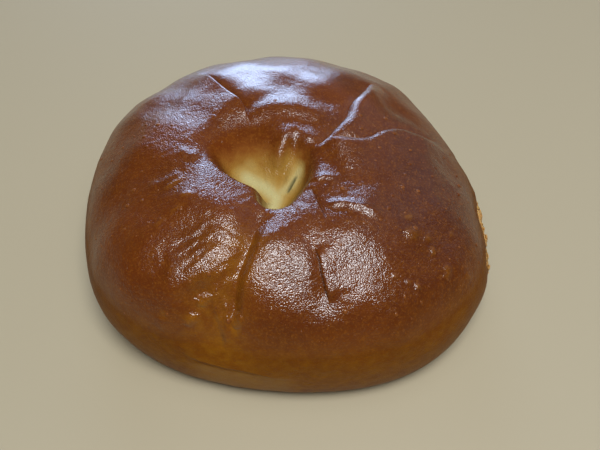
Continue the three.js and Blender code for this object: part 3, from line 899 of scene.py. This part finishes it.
def strewn_lumps():
    """node group that strews small rounded lumps over a surface, as thickly as a share stored on
    it, most of them small"""
    most_per_square_metre = 4e6
    rarity_of_large = 3.0
    tree = bpy.data.node_groups.new("strewn_lumps", "GeometryNodeTree")
    sizes = ("Apart", "Smallest", "Largest", "Height Share", "Length Share")
    wanted = [
        ("Surface", "Geometry"), ("Share", "String"), ("Seed", "Int"), ("Material", "Material"),
    ]
    for name, kind in wanted + [(name, "Float") for name in sizes]:
        tree.interface.new_socket(name=name, in_out="INPUT", socket_type="NodeSocket" + kind)
    tree.interface.new_socket(name="Lumps", in_out="OUTPUT", socket_type="NodeSocketGeometry")
    given = add_node(tree, "NodeGroupInput").outputs
    share = add_node(
        tree, "GeometryNodeInputNamedAttribute", {"Name": given["Share"]}, data_type="FLOAT"
    ).outputs["Attribute"]
    spots = add_node(
        tree, "GeometryNodeDistributePointsOnFaces",
        {
            "Mesh": given["Surface"], "Distance Min": given["Apart"],
            "Density Max": most_per_square_metre, "Density Factor": share, "Seed": given["Seed"],
        },
        distribute_method="POISSON",
    ).outputs
    lump = add_node(
        tree, "GeometryNodeMeshUVSphere", {"Segments": 8, "Rings": 6, "Radius": 1.0}
    ).outputs["Mesh"]
    chance = add_node(
        tree, "FunctionNodeRandomValue", {"Seed": given["Seed"]}, data_type="FLOAT"
    ).outputs[1]
    size = add_node(
        tree, "ShaderNodeMapRange",
        {
            "Value": calculated(tree, "POWER", chance, rarity_of_large),
            "To Min": given["Smallest"], "To Max": given["Largest"],
        },
    ).outputs["Result"]
    scale = add_node(
        tree, "ShaderNodeCombineXYZ",
        {
            "X": size,
            "Y": calculated(tree, "MULTIPLY", size, given["Length Share"]),
            "Z": calculated(tree, "MULTIPLY", size, given["Height Share"]),
        },
    ).outputs["Vector"]
    strewn = add_node(
        tree, "GeometryNodeInstanceOnPoints",
        {
            "Points": spots["Points"], "Instance": lump, "Rotation": spots["Rotation"],
            "Scale": scale,
        },
    ).outputs["Instances"]
    whole = add_node(tree, "GeometryNodeRealizeInstances", {"Geometry": strewn})
    smooth = add_node(tree, "GeometryNodeSetShadeSmooth", {"Geometry": whole.outputs["Geometry"]})
    coated = add_node(
        tree, "GeometryNodeSetMaterial",
        {"Geometry": smooth.outputs["Geometry"], "Material": given["Material"]},
    )
    add_node(tree, "NodeGroupOutput", {"Lumps": coated.outputs["Geometry"]})
    return tree


def strew(surface, name, tree, settings):
    """lumps strewn over a surface as a mesh of their own"""
    helper = add_object(name + "_helper", surface.data)
    modifier = helper.modifiers.new("strewn", "NODES")
    modifier.node_group = tree
    for item in tree.interface.items_tree:
        if item.name in settings:
            modifier[item.identifier] = settings[item.name]
    bpy.context.view_layer.update()
    evaluated = helper.evaluated_get(bpy.context.evaluated_depsgraph_get())
    mesh = bpy.data.meshes.new_from_object(evaluated)
    bpy.data.objects.remove(helper)
    points = np.empty(3 * len(mesh.vertices))
    mesh.vertices.foreach_get("co", points)
    low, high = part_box("bun")
    mesh.vertices.foreach_set("co", np.clip(points.reshape(-1, 3), low, high).ravel())
    return add_object(name, mesh)


def linear(code, alpha=1.0):
    """an sRGB hex colour as the linear numbers that shaders take"""
    channels = [int(code[i:i + 2], 16) / 255 for i in (1, 3, 5)]
    return tuple(
        c / 12.92 if c <= 0.04045 else ((c + 0.055) / 1.055) ** 2.4 for c in channels
    ) + (alpha,)


def add_node(tree, kind, inputs=None, **settings):
    """adds a node, sets its settings, and sets or links its inputs"""
    made = tree.nodes.new(kind)
    for name, value in settings.items():
        setattr(made, name, value)
    for name, value in (inputs or {}).items():
        if isinstance(value, bpy.types.NodeSocket):
            tree.links.new(value, made.inputs[name])
        else:
            made.inputs[name].default_value = value
    return made


def calculated(tree, operation, first, second):
    """the result of one sum on two inputs"""
    inputs = {0: first, 1: second}
    return add_node(tree, "ShaderNodeMath", inputs, operation=operation).outputs[0]


def per_mm(size):
    """scale of a pattern on Object coordinates, which are in metres, from its size in mm"""
    return 1 / (size * MM)


def speckled(tree, size, **inputs):
    """noise in patches of a size in mm"""
    inputs["Vector"] = add_node(tree, "ShaderNodeTexCoord").outputs["Object"]
    inputs["Scale"] = per_mm(size)
    return add_node(tree, "ShaderNodeTexNoise", inputs).outputs["Fac"]


def two_colours(tree, amount, dark, light):
    """a colour between two, each given by where it begins and its code"""
    ramp = add_node(tree, "ShaderNodeValToRGB", {"Fac": amount})
    for stop, (place, code) in zip(ramp.color_ramp.elements, (dark, light)):
        stop.position = place
        stop.color = linear(code)
    return ramp.outputs["Color"]


def new_material(name):
    """a material with nothing in it yet, and its node tree"""
    material = bpy.data.materials.new(name)
    material.use_nodes = True
    material.node_tree.nodes.clear()
    return material, material.node_tree


def surfaced(material, inputs):
    """the material with one surface of these inputs"""
    surface = add_node(material.node_tree, "ShaderNodeBsdfPrincipled", inputs).outputs["BSDF"]
    add_node(material.node_tree, "ShaderNodeOutputMaterial", {"Surface": surface})
    return material


def egg_washed_crust():
    """Enriched dough brushed with beaten egg and baked: a thin glossy skin, red-brown on top where
    it browned first, golden low down and along the front furrow, and pale where the pinch kept it
    from the heat. Painted into its colour are shade on the right side and in the slit, light
    bounced up from the table along the floury foot, and a highlight streak up the back wall of the
    long hollow. The skin is finely pebbled, so its highlights break up into sparks."""
    material, tree = new_material("egg_washed_crust")

    def share(name):
        return add_node(tree, "ShaderNodeAttribute", attribute_name=name).outputs["Fac"]

    def pattern(size, detail=2.0):
        return speckled(tree, size, Detail=detail)

    def between(value, low, high, to_low=0.0, to_high=1.0):
        limits = {"From Min": low, "From Max": high, "To Min": to_low, "To Max": to_high}
        return add_node(tree, "ShaderNodeMapRange", {"Value": value, **limits}).outputs["Result"]

    def blend(amount, under, over):
        # Input 0 is the amount, inputs 6 and 7 and output 2 are the colours.
        inputs = {0: amount, 6: under, 7: over}
        return add_node(tree, "ShaderNodeMix", inputs, data_type="RGBA").outputs[2]

    mottle = pattern(2.2, 4)
    top = blend(between(pattern(14), 0.35, 0.68), linear("#5c2a07"), linear("#522506"))
    golden = blend(between(mottle, 0.35, 0.7), linear("#7a470a"), linear("#8b5b10"))
    crumb = blend(between(pattern(1.3, 4), 0.35, 0.65), linear("#98662f"), linear("#b98f58"))
    uneven = between(mottle, 0.3, 0.7, -0.06, 0.06)
    sunk = calculated(tree, "ADD", share("sunk"), uneven)
    colour = top
    for amount, over in (
        # the crust
        (share("low"), linear("#6c3906")),
        # painted shade: the right side of the crust darker, where less light falls
        (between(share("shaded_right"), 0, 1, 0, 0.7), linear("#3e1c0b")),
        (between(mottle, 0.40, 0.66, 0, 0.2), linear("#74400c")),
        (share("golden"), golden),
        (between(pattern(0.55, 1), 0.52, 0.72, 0, 0.25), linear("#8a5418")),
        # flour along the foot, lighter also with painted light bounced up from the table
        (between(share("floury_and_glow"), 0, 1, 0, 0.7), linear("#a67c40")),
        # the wall of the pinch, the dough at its bottom, and painted shade darkening the slit in
        # it
        (between(sunk, 0.2, 0.44), linear("#744416")),
        (between(sunk, 0.38, 0.68), linear("#8a6629")),
        (between(share("pale"), 0.1, 0.6), linear("#9a8048")),
        (between(share("pale"), 0.55, 1.0), linear("#a79c6c")),
        # painted shade in the narrow slit
        (between(share("slit_shade"), 0.15, 0.8, 0, 0.85), linear("#5c5636")),
        (share("torn"), crumb),
    ):
        colour = blend(amount, colour, over)

    # The wash thins out low down, where the brush hardly reached.
    brushed = between(share("low"), 0, 0.35, 1.0, 0.01)
    wash = calculated(tree, "MULTIPLY", between(share("bare"), 0, 1, 1, 0), brushed)
    # Real pores of the wash are about 0.2 mm, drawn at 0.36 mm so that they show.
    place = add_node(tree, "ShaderNodeTexCoord").outputs["Object"]
    pores = add_node(
        tree, "ShaderNodeTexVoronoi",
        {"Vector": place, "Scale": per_mm(0.36), "Smoothness": 0.4}, feature="SMOOTH_F1",
    ).outputs["Distance"]
    pebbles = add_node(
        tree, "ShaderNodeBump",
        {
            "Strength": between(share("smooth"), 0, 1, 1, 0.45), "Distance": 0.095 * MM,
            "Height": pores,
        },
        invert=True,
    ).outputs["Normal"]
    waves = add_node(
        tree, "ShaderNodeBump",
        {
            "Strength": between(share("smooth"), 0, 1, 1, 0.4), "Distance": 0.17 * MM,
            "Height": pattern(1.8, 1), "Normal": pebbles,
        },
    ).outputs["Normal"]
    return surfaced(material, {
        "Base Color": colour, "Roughness": between(share("bare"), 0, 1, 0.46, 0.75),
        "IOR": 1.45, "Specular IOR Level": 0.06, "Normal": waves,
        "Coat Weight": wash, "Coat Roughness": 0.16, "Coat IOR": 1.5, "Coat Normal": waves,
        "Subsurface Weight": 0.06, "Subsurface Radius": (0.004, 0.002, 0.001),
        "Subsurface Scale": 0.5,
    })


def tray_baked_base():
    """The underside, dried and evenly browned against the tray: matt and slightly floury."""
    material, tree = new_material("tray_baked_base")
    mottle = speckled(tree, 5, Detail=5.0)
    bumps = {"Strength": 0.5, "Distance": 0.1 * MM, "Height": mottle}
    return surfaced(material, {
        "Base Color": two_colours(tree, mottle, (0.35, "#6a3d1a"), (0.68, "#a4713c")),
        "Roughness": 0.7, "IOR": 1.45,
        "Normal": add_node(tree, "ShaderNodeBump", bumps).outputs["Normal"],
    })


def blistered_skin():
    """Thin skin that tiny bubbles in the dough blew up in the oven, a little paler and less glossy
    than the crust round it."""
    material, tree = new_material("blistered_skin")
    mottle = speckled(tree, 6, Detail=2.0)
    return surfaced(material, {
        "Base Color": two_colours(tree, mottle, (0.35, "#5e2f0c"), (0.65, "#75431a")),
        "Roughness": 0.45, "IOR": 1.45, "Specular IOR Level": 0.1,
        "Coat Weight": 0.4, "Coat Roughness": 0.2, "Coat IOR": 1.5,
    })


def torn_crumb():
    """Pale soft shreds of dough pulled out where the bun tore away, quite matt."""
    material, _ = new_material("torn_crumb")
    return surfaced(material, {
        "Base Color": linear("#b0854d"), "Roughness": 0.8, "IOR": 1.45,
        "Specular IOR Level": 0.2, "Subsurface Weight": 0.2,
        "Subsurface Radius": (0.004, 0.002, 0.001), "Subsurface Scale": 0.5,
    })


def plain_floor():
    """A plain pale matt table top."""
    material, _ = new_material("plain_pale_floor")
    return surfaced(material, {"Base Color": linear("#a0957c"), "Roughness": 0.4, "IOR": 1.45})


def add_floor():
    half = FLOOR_HALF
    mesh = bpy.data.meshes.new("floor")
    corners = [(-half, -half, 0), (half, -half, 0), (half, half, 0), (-half, half, 0)]
    mesh.from_pydata(corners, [], [(0, 1, 2, 3)])
    mesh.materials.append(plain_floor())
    floor = add_object("floor", mesh)


def add_camera(shift):
    data = bpy.data.cameras.new("camera")
    data.sensor_width = SENSOR
    data.lens = SENSOR / 2 / math.tan(math.radians(CAMERA_FIELD / 2))
    data.clip_start = 0.01
    camera = add_object("camera", data)
    tilt = math.radians(CAMERA_ELEVATION)
    back = Vector((0, -math.cos(tilt), math.sin(tilt)))
    aim = Vector([value * MM + moved for value, moved in zip(CAMERA_AIM, shift)])
    camera.location = aim + back * CAMERA_DISTANCE
    camera.rotation_euler = (-back).to_track_quat("-Z", "Y").to_euler()
    bpy.context.scene.camera = camera


def add_lights():
    for name, place, aim, size, watts, colour in LIGHTS:
        light = bpy.data.lights.new(name, "AREA")
        light.shape = "ELLIPSE"
        light.size, light.size_y = size
        light.energy = watts
        light.color = colour
        made = add_object(name, light)
        made.location = place
        made.rotation_euler = (Vector(aim) - Vector(place)).to_track_quat("-Z", "Y").to_euler()
    world = bpy.data.worlds.new("room")
    world.use_nodes = True
    background = world.node_tree.nodes["Background"]
    background.inputs["Color"].default_value = ROOM_COLOUR
    background.inputs["Strength"].default_value = ROOM_STRENGTH
    bpy.context.scene.world = world
    bpy.context.scene.view_settings.view_transform = "Standard"


bun, shift = make_bun()
bun.data.materials.append(egg_washed_crust())
bun.data.materials.append(tray_baked_base())
lumps = strewn_lumps()
blisters = strew(bun, "bun_blisters", lumps, {
    "Share": "blistered", "Seed": 7, "Material": blistered_skin(), "Apart": 4.2 * MM,
    "Smallest": 0.16 * MM, "Largest": 0.62 * MM, "Height Share": 0.35, "Length Share": 1.3,
})
shreds = strew(bun, "bun_shreds", lumps, {
    "Share": "torn", "Seed": 3, "Material": torn_crumb(), "Apart": 0.9 * MM,
    "Smallest": 0.3 * MM, "Largest": 0.8 * MM, "Height Share": 0.4, "Length Share": 2.2,
})
for piece in (bun, blisters, shreds):
    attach(piece, "root")
    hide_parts("bun")

add_floor()
add_lights()
add_camera(shift)
